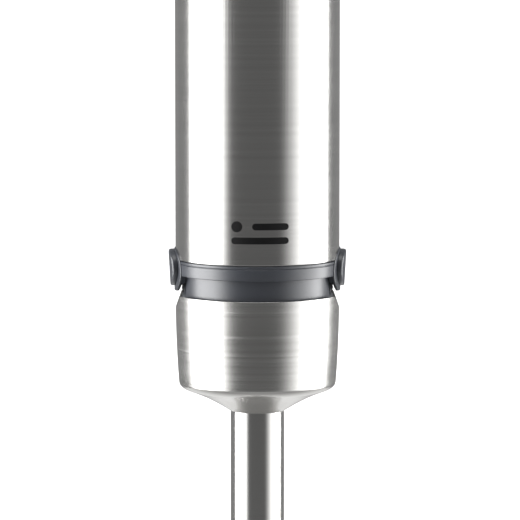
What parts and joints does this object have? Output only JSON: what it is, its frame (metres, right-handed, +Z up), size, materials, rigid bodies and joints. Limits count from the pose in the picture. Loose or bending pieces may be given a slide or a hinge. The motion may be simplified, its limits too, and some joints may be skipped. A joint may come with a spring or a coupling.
{
  "type": "stick blender",
  "caption": "Upright stick blender: brushed steel motor sleeve, grey collar with two squeeze releases, slide-off steel foot with a narrow shaft, bell guard and turning blade.",
  "frame": {"origin": "centre of the circle on which the blade guard's rim stands", "axes": "+Z up along the shaft to the dial end, -Y towards the run and boost keys, +X towards the right release button"},
  "size_m": [0.0696, 0.066, 0.414],
  "materials": {
    "brushed_steel": "fine circumferential brushing",
    "polished_steel": "polished stainless steel",
    "grey_plastic": "satin moulded, cool slate grey",
    "dark_plastic": "fine moulded grain",
    "soft_rubber": "matt elastomer",
    "bright_steel": "ground steel",
    "copper": "enamelled copper wire",
    "laminations": "stacked electrical steel",
    "bronze": "sintered bronze",
    "carbon": "pressed carbon",
    "board_green": "coated glass-fibre board",
    "cast_aluminium": "as cast",
    "nylon": "natural moulded nylon"
  },
  "bodies": {
    "motor_unit": {"steel_sleeve": "brushed_steel", "release_collar": "grey_plastic", "neck_spigot": "grey_plastic", "release_spring_left": "bright_steel", "release_spring_right": "bright_steel", "button_panel": "dark_plastic", "run_spring": "bright_steel", "boost_spring": "bright_steel", "run_switch": "dark_plastic", "boost_switch": "dark_plastic", "control_board": "board_green", "chassis_front": "dark_plastic", "chassis_rear": "dark_plastic", "top_cap": "grey_plastic", "speed_sensor": "bright_steel", "sensor_board": "board_green", "cord_gland": "soft_rubber", "motor_bracket_lower": "cast_aluminium", "motor_bracket_upper": "cast_aluminium", "bearing_lower": "bright_steel", "bearing_upper": "bright_steel", "rubber_mount": "soft_rubber", "motor_bolt_front": "bright_steel", "motor_bolt_rear": "bright_steel", "stator_core": "laminations", "field_coil_left": "copper", "field_coil_right": "copper", "brush_holder_front": "nylon", "brush_holder_rear": "nylon", "carbon_brush_front": "carbon", "carbon_brush_rear": "carbon", "motor_seal": "soft_rubber"},
    "speed_dial": {"speed_dial": "dark_plastic", "dial_shaft": "nylon"},
    "run_key": {"run_key": "grey_plastic"},
    "boost_key": {"boost_key": "grey_plastic"},
    "release_left": {"release_button_left": "grey_plastic", "latch_arm_left": "dark_plastic"},
    "release_right": {"release_button_right": "grey_plastic", "latch_arm_right": "dark_plastic"},
    "rotor": {"motor_shaft": "bright_steel", "armature_core": "laminations", "armature_winding_lower": "copper", "armature_winding_upper": "copper", "commutator": "copper", "cooling_fan": "dark_plastic", "drive_coupler": "dark_plastic"},
    "foot": {"foot_cup": "brushed_steel", "coupling_liner": "dark_plastic", "upper_bush": "bronze", "lower_bush": "bronze", "shaft_seal": "soft_rubber", "bearing_housing": "nylon", "shaft_tube": "polished_steel", "blade_guard": "polished_steel"},
    "blade_spindle": {"drive_shaft": "bright_steel", "drive_socket": "nylon", "blade": "polished_steel", "blade_spacer": "bright_steel", "blade_nut": "polished_steel"}
  },
  "joints": [
    {"name": "foot_slide", "type": "slide", "parent": "motor_unit", "child": "foot", "axis": [0, 0, -1], "range_m": [-0.004, 0.03]},
    {"name": "release_left_slide", "type": "slide", "parent": "motor_unit", "child": "release_left", "axis": [-1, 0, 0], "range_m": [0, 0.0014], "stiffness_N_per_m": 600, "springref_m": 0.004, "deforming": ["release_spring_left"]},
    {"name": "release_right_slide", "type": "slide", "parent": "motor_unit", "child": "release_right", "axis": [1, 0, 0], "range_m": [0, 0.0014], "stiffness_N_per_m": 600, "springref_m": 0.004, "deforming": ["release_spring_right"]},
    {"name": "run_key_press", "type": "slide", "parent": "motor_unit", "child": "run_key", "axis": [0, 1, 0], "range_m": [0, 0.0015], "stiffness_N_per_m": 700, "springref_m": -0.002, "deforming": ["run_spring"]},
    {"name": "boost_key_press", "type": "slide", "parent": "motor_unit", "child": "boost_key", "axis": [0, 1, 0], "range_m": [0, 0.0015], "stiffness_N_per_m": 700, "springref_m": -0.002, "deforming": ["boost_spring"]},
    {"name": "speed_dial_turn", "type": "hinge", "parent": "motor_unit", "child": "speed_dial", "pos_m": [0, -0.009, 0.409], "axis": [0, 0, -1], "range_deg": [0, 270]},
    {"name": "rotor_spin", "type": "hinge", "parent": "motor_unit", "child": "rotor", "pos_m": [0, 0, 0.28], "axis": [0, 0, 1], "continuous": true},
    {"name": "blade_spin", "type": "hinge", "parent": "foot", "child": "blade_spindle", "pos_m": [0, 0, 0.1], "axis": [0, 0, 1], "continuous": true}
  ],
  "couplings": [
    {"joint": "blade_spin", "follows": "rotor_spin", "ratio": 1}
  ]
}
